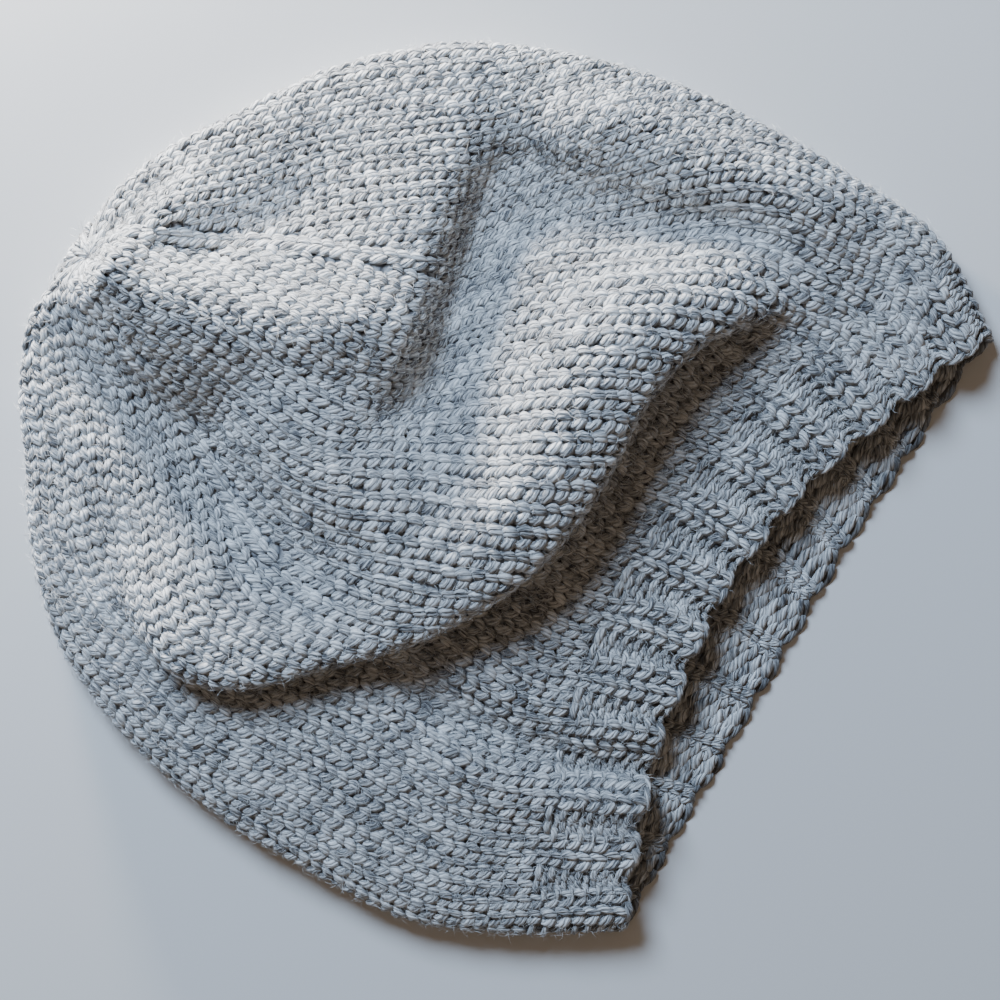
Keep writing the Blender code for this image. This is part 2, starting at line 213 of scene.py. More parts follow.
def add_fold(points, share, fold):
    """Raises and leans the points by one fold, as much as share says at each."""
    lean = fold.lean * FOLD_REACH
    reach = max(fold.right, fold.left) * FOLD_REACH + lean
    spread = np.array(fold.path) * (HALF_WIDTH, LENGTH)
    flat = points[..., :2]
    inside = (flat > spread.min(0) - reach) & (flat < spread.max(0) + reach)
    near = (share > 0.0) & inside.all(-1)
    across, ahead, lean_way, length = beside_path(flat[near], fold)
    lean_way /= np.linalg.norm(lean_way, axis=1)[:, None]
    slope = across + lean
    width = np.where(slope >= 0.0, fold.right, fold.left) * FOLD_REACH
    shape = np.cos(pi / 2.0 * np.clip(np.abs(slope) / width, 0.0, 1.0)) ** 2
    ends = smooth_step(ahead / (fold.grow * FOLD_REACH))
    ends = ends * smooth_step((length - ahead) / (fold.fade * FOLD_REACH))
    amount = shape * ends * share[near]
    folded = points.copy()
    folded[near, 2] += fold.rise * FOLD_HEIGHT * amount
    folded[near, :2] += lean * amount[:, None] * lean_way
    return folded


def hat_surface(around, along):
    """Points in the middle of the knitted wall.

    A valley that would sink into the layer on the floor comes to rest LAYER_GAP above it.
    """
    around, along = np.broadcast_arrays(around, along)
    flat = flat_bag(around, along)
    points = flat
    share = smooth_step(np.sin(around) / FOLD_ONSET)
    for fold in FOLDS:
        points = add_fold(points, share, fold)
    rest = np.minimum(flat[..., 2], 1.5 * WALL + LAYER_GAP)
    soft = LAYER_GAP / 2.5
    lifted = rest + soft * np.logaddexp(0.0, (points[..., 2] - rest) / soft)
    points[..., 2] += share * (lifted - points[..., 2])
    return points


def outward_normal(around, along):
    """Unit normals of the surface, by small steps along it."""
    round_way = hat_surface(around + NORMAL_STEP, along) - hat_surface(around - NORMAL_STEP, along)
    tip_way = hat_surface(around, along + NORMAL_STEP) - hat_surface(around, along - NORMAL_STEP)
    normal = np.cross(tip_way, round_way)
    return normal / np.linalg.norm(normal, axis=-1)[..., None]


# The knitting: wales are columns of stitches round the hat, rows run from mouth to tip, and the
# crown narrows in wedges. Rows keep their real height where a wale is on the upper layer.
WALES = 105
ROWS = 79
RIB_ROWS = 7
WEDGES = 5
FIRST_WEDGE = 5.5
STITCH_WIDTH = 0.0053
ROW_HEIGHT = 0.0041
UPPER_FROM_STRAIGHT = 4.0
UPPER_FROM_DRAWN = 20.0
UPPER_START = 8.0
UPPER_END = 4.0
RING_STATIONS = 121
RING_STEPS = 721
STATION_BLEND = 4
CROWN_START = 0.55
DECREASE_WIDTH = 0.5
LEAST_SHARE = 0.03
PATH_STEPS = 300
Knitting = namedtuple("Knitting", "place normal angle station knitted")

ring_stations = np.linspace(0.0, 1.0, RING_STATIONS)
ring_turns = np.linspace(0.0, 2.0 * pi, RING_STEPS)


def ring_runs(points):
    """The distance run along each ring of points, from its first."""
    steps = np.linalg.norm(np.diff(points, axis=1), axis=-1)
    return np.concatenate([np.zeros((len(points), 1)), np.cumsum(steps, axis=1)], axis=1)


def ring_shares():
    """The share of its ring that each angle has run at each station, and the rings' lengths.

    The share is the mean of the folded ring's and the flat ring's, blended over nearby stations,
    so that wales stay smooth where they cross a fold.
    """
    turns, along = np.meshgrid(ring_turns, ring_stations)
    folded = ring_runs(hat_surface(turns, along))
    flat = ring_runs(flat_bag(turns, along))
    share = folded / folded[:, -1:].clip(1e-9) / 2.0 + flat / flat[:, -1:].clip(1e-9) / 2.0
    share[-1] = share[-2]
    reach = np.arange(-STATION_BLEND, STATION_BLEND + 1)
    weights = np.exp(-((2.0 * reach / STATION_BLEND) ** 2))
    padded = np.pad(share, ((STATION_BLEND, STATION_BLEND), (0, 0)), mode="edge")
    blended = sum(
        weight * padded[STATION_BLEND + step:STATION_BLEND + step + RING_STATIONS]
        for step, weight in zip(reach, weights)
    )
    return blended / weights.sum(), folded[:, -1]


ring_share, ring_length = ring_shares()


def angle_at(share, station):
    """The angle round the bag at which a ring of one station has run these shares."""
    place = np.clip(station * (RING_STATIONS - 1), 0.0, RING_STATIONS - 1.001)
    k = int(place)
    row = ring_share[k] + (ring_share[k + 1] - ring_share[k]) * (place - k)
    return np.interp(share % 1.0, row, ring_turns) + 2.0 * pi * np.floor(share)


def stitch_count(along):
    """How many stitches a ring holds: all the wales up to CROWN_START, then fewer with its length."""
    length = np.interp(along, ring_stations, ring_length)
    start = np.interp(CROWN_START, ring_stations, ring_length)
    share = np.where(along < CROWN_START, 1.0, np.minimum(length / start, 1.0))
    return WALES * np.maximum(share, LEAST_SHARE)


def wale_shares(wales, along):
    """The ring share of each wale at each station, and whether the wale is still being knitted.

    The crown's wedges each have a middle wale. The others run parallel to it and end beside the
    wedge's edge, where they are decreased.
    """
    per_wedge = WALES / WEDGES
    wedge = np.floor((wales - FIRST_WEDGE) / per_wedge + 0.5)
    middle = FIRST_WEDGE + wedge * per_wedge
    off = (wales - middle)[:, None]
    count = stitch_count(along)[None]
    edge = 0.5 / WEDGES
    share = middle[:, None] / WALES + np.clip(off / count, -edge, edge)
    last = np.where(count < WALES - 0.5, DECREASE_WIDTH, 0.0)
    knitted = (np.abs(off) + last) / count <= edge + 1e-9
    return share, knitted


def follow(wales, share, knitted, along, drifted):
    """Places and normals of each half row along wales that run at these ring shares.

    Rows are set ROW_HEIGHT apart along each wale. On the layer that lies on the floor all rows fit
    between mouth and tip, a little closer together. The drifted knitting is counted from the tip
    and the other from the mouth.
    """
    angle = np.stack([angle_at(share[:, k], along[k]) for k in range(PATH_STEPS)], axis=1)
    run = ring_runs(hat_surface(angle, along[None]))
    whole = run[:, -1:]
    first = UPPER_FROM_DRAWN if drifted else UPPER_FROM_STRAIGHT
    begun = smooth_step((wales - first + UPPER_START) / UPPER_START)
    upper = begun * smooth_step((0.5 * WALES - wales) / UPPER_END)
    pitch = upper[:, None] * ROW_HEIGHT + (1.0 - upper[:, None]) * whole / ROWS
    rows = np.arange(2 * ROWS + 1) / 2.0
    target = whole - pitch * (ROWS - rows)[None] if drifted else pitch * rows[None]
    inside = (target >= -1e-6) & (target <= whole + 1e-6)
    station = np.stack([np.interp(target[k], run[k], along) for k in range(len(wales))])
    angles = np.stack([np.interp(station[k], along, angle[k]) for k in range(len(wales))])
    still = [np.interp(station[k], along, knitted[k] * 1.0) > 0.5 for k in range(len(wales))]
    place = hat_surface(angles, station) + OVER_ORIGIN
    normal = outward_normal(angles, np.clip(station, 2.0 * NORMAL_STEP, 1.0 - 20.0 * NORMAL_STEP))
    return Knitting(place, normal, angles, station, np.stack(still) & inside)


def knit(drifted):
    """The knitting at every half wale and half row, and what of it is still knitted."""
    wales = np.arange(2 * WALES) / 2.0
    along = np.linspace(0.0, 1.0, PATH_STEPS)
    share, knitted = wale_shares(wales, along)
    if drifted:
        share = drawn_across(share, along)
    return follow(wales, share, knitted, along, drifted)


straight = knit(False)

# The ribs, which the ground cloth follows: how many, a wale in the middle of one, how far they
# stand out and over how many rows they die away
RIBS = 26
RIB_MIDDLE = 26.0
RIB_RISE = 0.0011
RIB_FADE_ROWS = 2.5


def rib_turn(wales):
    """The turn through the ribs: its sine is 1 along the middle of a rib, -1 along a groove's."""
    return 2.0 * pi * RIBS * (wales - RIB_MIDDLE) / WALES


def rib_fade(rows):
    """Ribs are full at the mouth and die away over the last rows of the ribbing."""
    return smooth_step((RIB_ROWS - rows) / RIB_FADE_ROWS)


def new_piece(name, places, faces, material, maps):
    """A mesh piece from an array of points, groups of faces with equally many corners, and UV maps.

    Each entry of maps is a name and one (corner, 2) array for each group of faces.
    """
    mesh = bpy.data.meshes.new(name)
    corners = np.concatenate([group.ravel() for group in faces])
    sizes = np.concatenate([np.full(len(group), group.shape[1]) for group in faces])
    mesh.vertices.add(len(places))
    mesh.vertices.foreach_set("co", places.astype(np.float32).ravel())
    mesh.loops.add(len(corners))
    mesh.loops.foreach_set("vertex_index", corners.astype(np.int32))
    mesh.polygons.add(len(sizes))
    starts = np.concatenate([[0], np.cumsum(sizes)[:-1]])
    mesh.polygons.foreach_set("loop_start", starts.astype(np.int32))
    mesh.update(calc_edges=True)
    for title, groups in maps:
        layer = mesh.uv_layers.new(name=title)
        values = np.concatenate([group.reshape(-1, 2) for group in groups])
        layer.data.foreach_set("uv", values.astype(np.float32).ravel())
    mesh.shade_smooth()
    mesh.materials.append(material)
    piece = bpy.data.objects.new(name, mesh)
    bpy.context.scene.collection.objects.link(piece)
    return piece


def grid_faces(rows, columns, closed):
    """Quads of a grid of points, row by row, closed round its columns or open."""
    last = columns if closed else columns - 1
    r, c = np.meshgrid(np.arange(rows - 1), np.arange(last), indexing="ij")
    after = (c + 1) % columns
    quad = [r * columns + c, r * columns + after, (r + 1) * columns + after, (r + 1) * columns + c]
    return np.stack(quad, -1).reshape(-1, 4)


def link(tree, start, socket, end, into):
    """Joins one node's output socket to another's input socket."""
    tree.links.new(start.outputs[socket], end.inputs[into])


def math_node(tree, operation, first, second=None):
    """A Math node fed by a node and socket, or a number, on each of its two inputs."""
    node = tree.nodes.new("ShaderNodeMath")
    node.operation = operation
    for slot, source in enumerate((first, second)):
        if isinstance(source, tuple):
            link(tree, source[0], source[1], node, slot)
        elif source is not None:
            node.inputs[slot].default_value = source
    return node


GROUND_ROWS = 70
GROUND_COLUMNS = 210
GROUND_BACK = 0.0012
GROUND_RIB_BACK = 0.0003
GROUND_FRONT = 0.0002
GROUND_FIRST = 0.004
GROUND_LAST = 0.985
GROUND_LOWEST = 0.0006
ROW_WAVE = 0.18
PURL_FUZZ = 0.5
PURL_RELIEF = 0.0009
# Painted shade: the purl side is coloured darker than the yarn, standing in for shade in the gaps
# between stitches, and darkest between its rows of bumps
PURL_PAINTED_SHADE_DARK = (0.085, 0.087, 0.095, 1.0)
PURL_LIGHT = (0.40, 0.40, 0.405, 1.0)
PURL_PAINTED_SHADE_DARK_AT = 0.15
PURL_LIGHT_AT = 1.3 / 1.5
PURL_SHADE = 0.7


def purl_material():
    """The purl side: rows of half round bumps, two to a stitch, from the stitch map.

    Its colours are darker than the yarn's, painted shade for the gaps between stitches, and darkest
    between the rows of bumps, also painted shade. Noise adds random fibre tone.
    """
    material = bpy.data.materials.new("wool purl side with painted shade")
    material.use_nodes = True
    tree = material.node_tree
    shader = tree.nodes["Principled BSDF"]
    uv = tree.nodes.new("ShaderNodeUVMap")
    uv.uv_map = "stitch"
    split = tree.nodes.new("ShaderNodeSeparateXYZ")
    link(tree, uv, "UV", split, 0)
    across = math_node(tree, "SINE", (math_node(tree, "MULTIPLY", (split, "X"), 2.0 * pi), 0))
    shifted = math_node(tree, "MULTIPLY_ADD", (across, 0), ROW_WAVE)
    link(tree, split, "Y", shifted, 2)
    wave = math_node(tree, "SINE", (math_node(tree, "MULTIPLY", (shifted, 0), pi), 0))
    row = math_node(tree, "ABSOLUTE", (wave, 0))
    coordinates = tree.nodes.new("ShaderNodeTexCoord")
    fuzz = tree.nodes.new("ShaderNodeTexNoise")
    fuzz.inputs["Scale"].default_value = 1400.0
    fuzz.inputs["Detail"].default_value = 3.0
    link(tree, coordinates, "Object", fuzz, "Vector")
    height = math_node(tree, "MULTIPLY_ADD", (fuzz, "Fac"), PURL_FUZZ)
    link(tree, row, 0, height, 2)
    ramp = tree.nodes.new("ShaderNodeValToRGB")
    ramp.color_ramp.elements[0].position = PURL_PAINTED_SHADE_DARK_AT
    ramp.color_ramp.elements[0].color = PURL_PAINTED_SHADE_DARK
    ramp.color_ramp.elements[1].position = PURL_LIGHT_AT
    ramp.color_ramp.elements[1].color = PURL_LIGHT
    link(tree, math_node(tree, "MULTIPLY", (height, 0), PURL_SHADE), 0, ramp, "Fac")
    link(tree, ramp, "Color", shader, "Base Color")
    raised = tree.nodes.new("ShaderNodeBump")
    raised.inputs["Strength"].default_value = 1.0
    raised.inputs["Distance"].default_value = PURL_RELIEF
    link(tree, height, 0, raised, "Height")
    link(tree, raised, "Normal", shader, "Normal")
    shader.inputs["Roughness"].default_value = 0.95
    shader.inputs["Specular IOR Level"].default_value = 0.1
    return material


def straight_rows(columns):
    """How many rows of straight knitting fit from mouth to tip on each column's wale, (column, 1)."""
    wale = np.round(columns * 2 * WALES).astype(int) % (2 * WALES)
    return (RIB_ROWS / np.maximum(straight.station[wale, 2 * RIB_ROWS], 1e-6))[:, None]


def ground_cloth():
    """A closed thin bag: an outer skin and an inner skin, joined at the mouth, shut at the tip."""
    columns = np.arange(GROUND_COLUMNS) / GROUND_COLUMNS
    stations = np.linspace(GROUND_FIRST, GROUND_LAST, GROUND_ROWS)
    angles = np.stack([angle_at(columns, station) for station in stations])
    along = np.broadcast_to(stations[:, None], angles.shape)
    middle = hat_surface(angles, along) + OVER_ORIGIN
    normal = outward_normal(angles, along)
    rows = stations * straight_rows(columns)
    ribs = RIB_RISE * np.sin(rib_turn(columns * WALES))[None] * rib_fade(rows.T)
    middle = middle + ribs[..., None] * normal
    back = GROUND_BACK + (GROUND_RIB_BACK - GROUND_BACK) * rib_fade(rows.T)
    outer = middle + GROUND_FRONT * normal
    inner = middle - back[..., None] * normal
    rings = np.concatenate([inner[::-1], outer])
    places = np.concatenate([rings.reshape(-1, 3), inner[-1:].mean(1), outer[-1:].mean(1)])
    count = GROUND_COLUMNS
    quads = grid_faces(2 * GROUND_ROWS, count, True)
    ring = np.arange(count)
    after = (ring + 1) % count
    total = 2 * GROUND_ROWS * count
    back_cap = np.stack([after, ring, np.full(count, total)], -1)
    top = total - count
    front_cap = np.stack([top + ring, top + after, np.full(count, total + 1)], -1)
    wale = np.arange(count + 1) / count * WALES
    row_of = np.concatenate([stations[::-1], stations]) * ROWS
    r, c = np.meshgrid(np.arange(2 * GROUND_ROWS - 1), np.arange(count), indexing="ij")
    u = np.stack([wale[c], wale[c + 1], wale[c + 1], wale[c]], -1)
    v = np.stack([row_of[r], row_of[r], row_of[r + 1], row_of[r + 1]], -1)
    quad_map = np.stack([u, v], -1).reshape(-1, 2)
    cap_map = np.zeros((2 * count * 3, 2))
    places[:, 2] = np.maximum(places[:, 2], GROUND_LOWEST)
    faces = [quads, np.concatenate([back_cap, front_cap])]
    return new_piece("ground_cloth", places, faces, purl_material(), [("stitch", [quad_map, cap_map])])


ground = ground_cloth()
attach(ground, "root")
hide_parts("brim", "crown")

# The plain knitting on the upper layer: stitch by stitch, each a V of two legs of plied yarn that
# comes up through the stitch below it and passes under the next. It is cut in two along the foot
# of the main fold, where the cloth tucks under itself, and split into pieces by row.
DRIFT_WALES = 12.0
DRIFT_FROM = 0.62
DRIFT_TO = 0.20
DRAWN_FROM = -0.30
DRAWN_OVER = 0.27

# One row for each step down on the left: how much of the drift goes, from which ring share, over
# how much of the ring
LeftStep = namedtuple("LeftStep", "amount begins over")
LEFT_STEPS = [
    LeftStep(0.75, 0.16, 0.22),
    LeftStep(0.25, 0.40, 0.10),
]
MAIN_FOLD = FOLDS[1]
CUT = 0.94
CUT_OVERLAP = 0.06


def drawn_across(share, along):
    """Ring shares above the main fold, where the cloth is drawn across the hat by DRIFT_WALES.

    The draw is full over the upper layer, grows from its right edge and dies away in steps on its
    left. It fades towards the tip between DRIFT_TO and DRIFT_FROM.
    """
    turned = (share + 0.5) % 1.0 - 0.5
    left = 1.0
    for step in LEFT_STEPS:
        left = left - step.amount * smooth_step((turned - step.begins) / step.over)
    amount = np.where(turned < 0.0, smooth_step((turned - DRAWN_FROM) / DRAWN_OVER), left)
    reach = smooth_step((DRIFT_FROM - along) / (DRIFT_FROM - DRIFT_TO))
    return share - DRIFT_WALES / WALES * amount * reach[None]


def fold_side(points, fold):
    """How far points lie down a fold's right side: 0 at its crest and 1 at its foot."""
    across = beside_path(points[..., :2].reshape(-1, 2), fold)[0]
    side = (across + fold.lean * FOLD_REACH) / (fold.right * FOLD_REACH)
    return side.reshape(points.shape[:-1])


drawn = knit(True)

# The yarn: the sines at which painted shade is full on its turned-away side and gone on its upper
# side, the share of each end darkened by painted shade where it is tucked in, how its plies and
# fibres run and stand up, and how much each adds to its light and dark, painted shade in the
# grooves between plies and on the hidden sides included
FULL_PAINTED_SHADE_AT = 0.55
NO_PAINTED_SHADE_AT = -0.75
TUCKED_PAINTED_SHADE_SHARE = 0.26
PLY_ROUNDNESS = 0.6
FIBRE_RELIEF = 0.9
FIBRES_DRAWN_OUT = 2.6
NUMBER_SPREAD = 97.0
PLIES = 5.0
PLY_TURNS = 2.7
FIBRES_A_PLY = 3.4
YARN_RELIEF = 0.00042
FIBRE_CONTRAST = 3.1
STITCH_CONTRAST = 0.42
PATCH_CONTRAST = 1.1
SHADE_START = -1.72
GROOVE_PAINTED_SHADE = 0.58
DEEP_PAINTED_SHADE = 0.30
DARK_FIBRE_AND_PAINTED_SHADE = (0.075, 0.076, 0.082, 1.0)
LIGHT_FIBRE = (0.86, 0.86, 0.845, 1.0)


def smooth_node(tree, source, low, high):
    """0 below low and 1 above high, with a soft step between; low may be above high."""
    node = tree.nodes.new("ShaderNodeMapRange")
    node.interpolation_type = "SMOOTHSTEP"
    link(tree, source[0], source[1], node, "Value")
    node.inputs["From Min"].default_value = low
    node.inputs["From Max"].default_value = high
    return node


def plied_yarn_group():
    """Plied yarn from a UV map with the share round the yarn in U and the share along it in V.

    The plies are the ridges of |sin| of the share round plus the turns along, and Groove is their
    value, which the material uses for painted shade between them. Fibres are noise drawn out along
    the plies. Height joins both. Tone is the fibres' light and dark. Open is a mask for painted
    shade: 1 on the side that faces out of the cloth and 0 beneath and where both ends are tucked in.
    """
    group = bpy.data.node_groups.new("plied yarn", "ShaderNodeTree")
    face = group.interface
    face.new_socket("UV", in_out="INPUT", socket_type="NodeSocketVector")
    for name, value in (("Plies", 3.0), ("Turns", 1.5), ("Fibres", 5.0), ("Number", 0.0)):
        face.new_socket(name, in_out="INPUT", socket_type="NodeSocketFloat").default_value = value
    for name in ("Height", "Groove", "Tone", "Open"):
        face.new_socket(name, in_out="OUTPUT", socket_type="NodeSocketFloat")
    start = group.nodes.new("NodeGroupInput")
    end = group.nodes.new("NodeGroupOutput")
    split = group.nodes.new("ShaderNodeSeparateXYZ")
    link(group, start, "UV", split, 0)
    round_yarn = math_node(group, "MULTIPLY", (split, "X"), (start, "Plies"))
    along_yarn = math_node(group, "MULTIPLY", (split, "Y"), (start, "Turns"))
    phase = math_node(group, "ADD", (round_yarn, 0), (along_yarn, 0))
    wave = math_node(group, "SINE", (math_node(group, "MULTIPLY", (phase, 0), pi), 0))
    ridge = math_node(group, "ABSOLUTE", (wave, 0))
    ply = math_node(group, "POWER", (ridge, 0), PLY_ROUNDNESS)
    across = math_node(group, "MULTIPLY", (phase, 0), (start, "Fibres"))
    number = math_node(group, "MULTIPLY", (start, "Number"), NUMBER_SPREAD)
    drawn_out = group.nodes.new("ShaderNodeCombineXYZ")
    link(group, across, 0, drawn_out, "X")
    link(group, math_node(group, "MULTIPLY", (split, "Y"), FIBRES_DRAWN_OUT), 0, drawn_out, "Y")
    link(group, number, 0, drawn_out, "Z")
    fibres = group.nodes.new("ShaderNodeTexNoise")
    fibres.inputs["Scale"].default_value = 1.0
    fibres.inputs["Detail"].default_value = 3.0
    fibres.inputs["Roughness"].default_value = 0.65
    link(group, drawn_out, 0, fibres, "Vector")
    raised = math_node(group, "MULTIPLY", (fibres, "Fac"), FIBRE_RELIEF)
    height = math_node(group, "ADD", (ply, 0), (raised, 0))
    link(group, height, 0, end, "Height")
    link(group, ply, 0, end, "Groove")
    link(group, fibres, "Fac", end, "Tone")
    # Open, the mask for painted shade: 0 on the yarn's underside and near its tucked ends
    turned = math_node(group, "SINE", (math_node(group, "MULTIPLY", (split, "X"), 2.0 * pi), 0))
    outward = smooth_node(group, (turned, 0), FULL_PAINTED_SHADE_AT, NO_PAINTED_SHADE_AT)
    left = math_node(group, "SUBTRACT", 1.0, (split, "Y"))
    nearer_end = math_node(group, "MINIMUM", (split, "Y"), (left, 0))
    clear = smooth_node(group, (nearer_end, 0), 0.0, TUCKED_PAINTED_SHADE_SHARE)
    link(group, math_node(group, "MULTIPLY", (outward, 0), (clear, 0)), 0, end, "Open")
    return group


def heather_group():
    """Soft light and dark patches, where more light or more dark fibre was spun in."""
    group = bpy.data.node_groups.new("heather", "ShaderNodeTree")
    face = group.interface
    face.new_socket("Vector", in_out="INPUT", socket_type="NodeSocketVector")
    face.new_socket("Shade", in_out="OUTPUT", socket_type="NodeSocketFloat")
    start = group.nodes.new("NodeGroupInput")
    end = group.nodes.new("NodeGroupOutput")
    patches = group.nodes.new("ShaderNodeTexNoise")
    patches.inputs["Scale"].default_value = 160.0
    patches.inputs["Detail"].default_value = 2.0
    link(group, start, "Vector", patches, "Vector")
    link(group, patches, "Fac", end, "Shade")
    return group


def wool_material():
    """Heathered plied wool: dark and light fibres side by side, with painted shade in the grooves
    between the plies and on the yarn's hidden sides and tucked ends.
    """
    material = bpy.data.materials.new("heather wool yarn with painted shade")
    material.use_nodes = True
    tree = material.node_tree
    shader = tree.nodes["Principled BSDF"]
    uv = tree.nodes.new("ShaderNodeUVMap")
    uv.uv_map = "yarn"
    number = tree.nodes.new("ShaderNodeUVMap")
    number.uv_map = "stitch"
    split = tree.nodes.new("ShaderNodeSeparateXYZ")
    link(tree, number, "UV", split, 0)
    yarn = tree.nodes.new("ShaderNodeGroup")
    yarn.node_tree = plied_yarn
    yarn.inputs["Plies"].default_value = PLIES
    yarn.inputs["Turns"].default_value = PLY_TURNS
    yarn.inputs["Fibres"].default_value = FIBRES_A_PLY
    link(tree, uv, "UV", yarn, "UV")
    link(tree, split, "X", yarn, "Number")
    coordinates = tree.nodes.new("ShaderNodeTexCoord")
    patches = tree.nodes.new("ShaderNodeGroup")
    patches.node_tree = heather
    link(tree, coordinates, "Object", patches, "Vector")
    tone = math_node(tree, "MULTIPLY_ADD", (yarn, "Tone"), FIBRE_CONTRAST)
    tone.inputs[2].default_value = SHADE_START
    own = math_node(tree, "MULTIPLY_ADD", (split, "Y"), STITCH_CONTRAST)
    link(tree, tone, 0, own, 2)
    shade = math_node(tree, "MULTIPLY_ADD", (patches, "Shade"), PATCH_CONTRAST)
    link(tree, own, 0, shade, 2)
    # Painted shade: the colour is darkened in the grooves between the plies
    groove = math_node(tree, "MULTIPLY_ADD", (yarn, "Groove"), 1.0 - GROOVE_PAINTED_SHADE)
    groove.inputs[2].default_value = GROOVE_PAINTED_SHADE
    # Painted shade: the colour is darker on the yarn's underside and at its tucked ends
    painted_shade_hidden_sides = math_node(tree, "MULTIPLY_ADD", (yarn, "Open"), 1.0 - DEEP_PAINTED_SHADE)
    painted_shade_hidden_sides.inputs[2].default_value = DEEP_PAINTED_SHADE
    painted_shade = math_node(tree, "MULTIPLY", (groove, 0), (painted_shade_hidden_sides, 0))
    seen = math_node(tree, "MULTIPLY", (shade, 0), (painted_shade, 0))
    ramp = tree.nodes.new("ShaderNodeValToRGB")
    ramp.color_ramp.elements[0].position = 0.0
    ramp.color_ramp.elements[0].color = DARK_FIBRE_AND_PAINTED_SHADE
    ramp.color_ramp.elements[1].position = 1.0
    ramp.color_ramp.elements[1].color = LIGHT_FIBRE
    link(tree, seen, 0, ramp, "Fac")
    link(tree, ramp, "Color", shader, "Base Color")
    raised = tree.nodes.new("ShaderNodeBump")
    raised.inputs["Strength"].default_value = 1.0
    raised.inputs["Distance"].default_value = YARN_RELIEF
    link(tree, yarn, "Height", raised, "Height")
    link(tree, raised, "Normal", shader, "Normal")
    shader.inputs["Roughness"].default_value = 0.92
    shader.inputs["Specular IOR Level"].default_value = 0.15
    shader.inputs["Sheen Weight"].default_value = 0.35
    shader.inputs["Sheen Roughness"].default_value = 0.45
    return material


plied_yarn = plied_yarn_group()
heather = heather_group()
yarn_wool = wool_material()

SIDES = 6
YARN_WIDE = 1.14
YARN_FLAT = 0.86

# One row for each bend of a strand: where it lies across and along, in half stitches from the
# middle of its stitch, its height over the cloth and the yarn's radius there
Bend = namedtuple("Bend", "across along height radius")
RIGHT_LEG = [
    Bend(0.08, -1.36, -0.00040, 0.00064),
    Bend(0.18, -0.88, 0.00050, 0.00110),
    Bend(0.44, -0.32, 0.00088, 0.00132),
    Bend(0.62, 0.26, 0.00080, 0.00132),
    Bend(0.64, 0.82, 0.00016, 0.00106),
    Bend(0.46, 1.22, -0.00070, 0.00060),
]
FLOOR_HEIGHT = 0.0002
MOST_SLANT = 1.1
SLIMMEST = 0.7
WIDEST = 1.35
SWELL = 0.7
UNEVEN_PLACE = 0.055
UNEVEN_ALONG = 0.085
UNEVEN_HEIGHT = 0.00013
UNEVEN_THICKNESS = 0.10
UNDER_EDGE = -0.02

# One row for each slow wave in the knitting: its turns round the hat, its turn for each row and
# how far it moves a stitch, in half stitches. Each wave starts WAVE_START on from the one before.
Wave = namedtuple("Wave", "turns by_row size")
WAVES = [
    Wave(5, 0.47, 0.13),
    Wave(-14, 0.29, 0.09),
    Wave(9, -1.07, 0.08),
    Wave(23, 0.71, 0.05),
]
WAVE_START = 2.1
ALONG_START = 1.4
rng = np.random.default_rng(7)


def mirrored(line):
    """A line of bends with its left and right changed over."""
    return [bend._replace(across=-bend.across) for bend in line]


def patch(values, wales, rows):
    """The 3 by 3 half wales and half rows of values round each stitch, or each half stitch on."""
    w = ((2 * wales[:, None]).astype(int) + np.arange(3)[None]) % (2 * WALES)
    r = (2 * rows[:, None]).astype(int) + np.arange(3)[None]
    return values[w[:, :, None], r[:, None, :]]


def blend_weights(u):
    """Weights of the curve through three points at -1, 0 and 1."""
    return np.stack([u * (u - 1.0) / 2.0, 1.0 - u * u, u * (u + 1.0) / 2.0], -1)


def on_cloth(knitting, wales, rows, across, along, height):
    """Points beside each stitch's middle, in half stitches across and along, at a height over it.

    across, along and height are (stitch, point) arrays. The cloth between the nine lattice points
    of a stitch is the smooth surface through them.
    """
    a = blend_weights(across)
    b = blend_weights(along)
    place = np.einsum("spi,spj,sijk->spk", a, b, patch(knitting.place, wales, rows))
    normal = np.einsum("spi,spj,sijk->spk", a, b, patch(knitting.normal, wales, rows))
    normal /= np.linalg.norm(normal, axis=-1, keepdims=True)
    return place + height[..., None] * normal, normal


def tubes(centres, normals, radii, sides):
    """Rings of points round each line of centres, (line, ring, side, 3), seen from its start.

    A ring stands across the line: its two axes are the cross product of the line's direction and
    the cloth's normal, and the cross product of that and the direction. Yarn that lies on the cloth
    is a little wider than it is high.
    """
    forward = np.gradient(centres, axis=1)
    forward /= np.linalg.norm(forward, axis=-1, keepdims=True)
    side = np.cross(forward, normals)
    side /= np.linalg.norm(side, axis=-1, keepdims=True)
    up = np.cross(side, forward)
    turn = -(np.arange(sides) + 0.5) * 2.0 * pi / sides
    wide = YARN_WIDE * np.cos(turn)[:, None] * side[:, :, None]
    high = YARN_FLAT * np.sin(turn)[:, None] * up[:, :, None]
    return centres[:, :, None] + radii[..., None, None] * (wide + high)


def waver(wales, rows, shift):
    """How far the knitting wanders from even rows and wales: a sum of slow sine waves.

    Each wave has a whole number of turns round the hat, a turn for each row and a size.
    """
    return sum(
        size * np.sin(2.0 * pi * turns * wales / WALES + by_row * rows + WAVE_START * k + shift)
        for k, (turns, by_row, size) in enumerate(WAVES)
    )[:, None]


